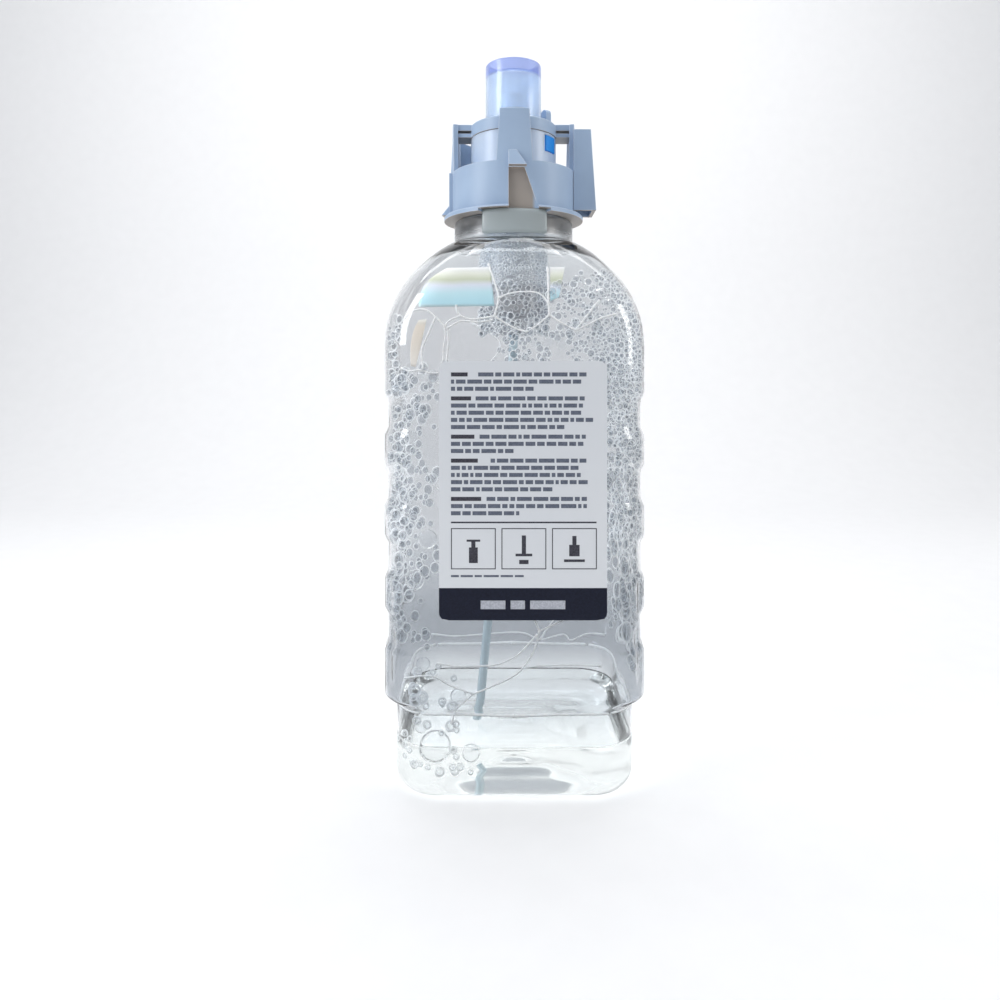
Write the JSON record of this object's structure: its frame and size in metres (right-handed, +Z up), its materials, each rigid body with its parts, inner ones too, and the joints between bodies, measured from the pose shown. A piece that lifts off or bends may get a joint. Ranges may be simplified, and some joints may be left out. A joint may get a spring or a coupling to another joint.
{
  "type": "foaming hand soap refill pack",
  "caption": "Clear rectangular refill bottle for foaming hand soap, with grip bumps, front label, keyed collar and a spring-loaded foam pump with dip tube.",
  "frame": {"origin": "centre of the bottle's base, on the surface that it stands on", "axes": "+Z up along the pump, -Y towards the label side, +X to the right seen from the label side"},
  "size_m": [0.1052, 0.0805, 0.3004],
  "materials": {
    "clear_bottle": "clear, glossy, blow-moulded",
    "liquid_soap": "clear liquid",
    "label_film": "printed satin film",
    "grey_blue_moulding": "satin moulded",
    "natural_moulding": "translucent, unpigmented",
    "bright_blue_moulding": "gloss moulded",
    "gasket": "soft, matt",
    "white_moulding": "unpigmented moulded",
    "steel": "bright stainless",
    "outlet_blue": "translucent moulded"
  },
  "bodies": {
    "pack": {"bottle": "clear_bottle", "soap": "liquid_soap", "label": "label_film", "collar": "grey_blue_moulding", "pump_housing": "natural_moulding", "key_tab": "bright_blue_moulding", "neck_gasket": "gasket", "dip_tube": "natural_moulding", "ball_retainer": "white_moulding", "inlet_ball": "steel", "return_spring": "steel"},
    "pump_head": {"outlet_sleeve": "outlet_blue", "mesh_cartridge": "white_moulding", "upper_mesh": "white_moulding", "lower_mesh": "white_moulding", "air_piston": "white_moulding", "air_valve": "gasket", "liquid_piston": "white_moulding", "outlet_ball": "steel"}
  },
  "joints": [
    {"name": "pump_stroke", "type": "slide", "parent": "pack", "child": "pump_head", "axis": [0, 0, -1], "range_m": [0, 0.012], "stiffness_N_per_m": 500, "springref_m": -0.016, "deforming": ["return_spring"]}
  ]
}
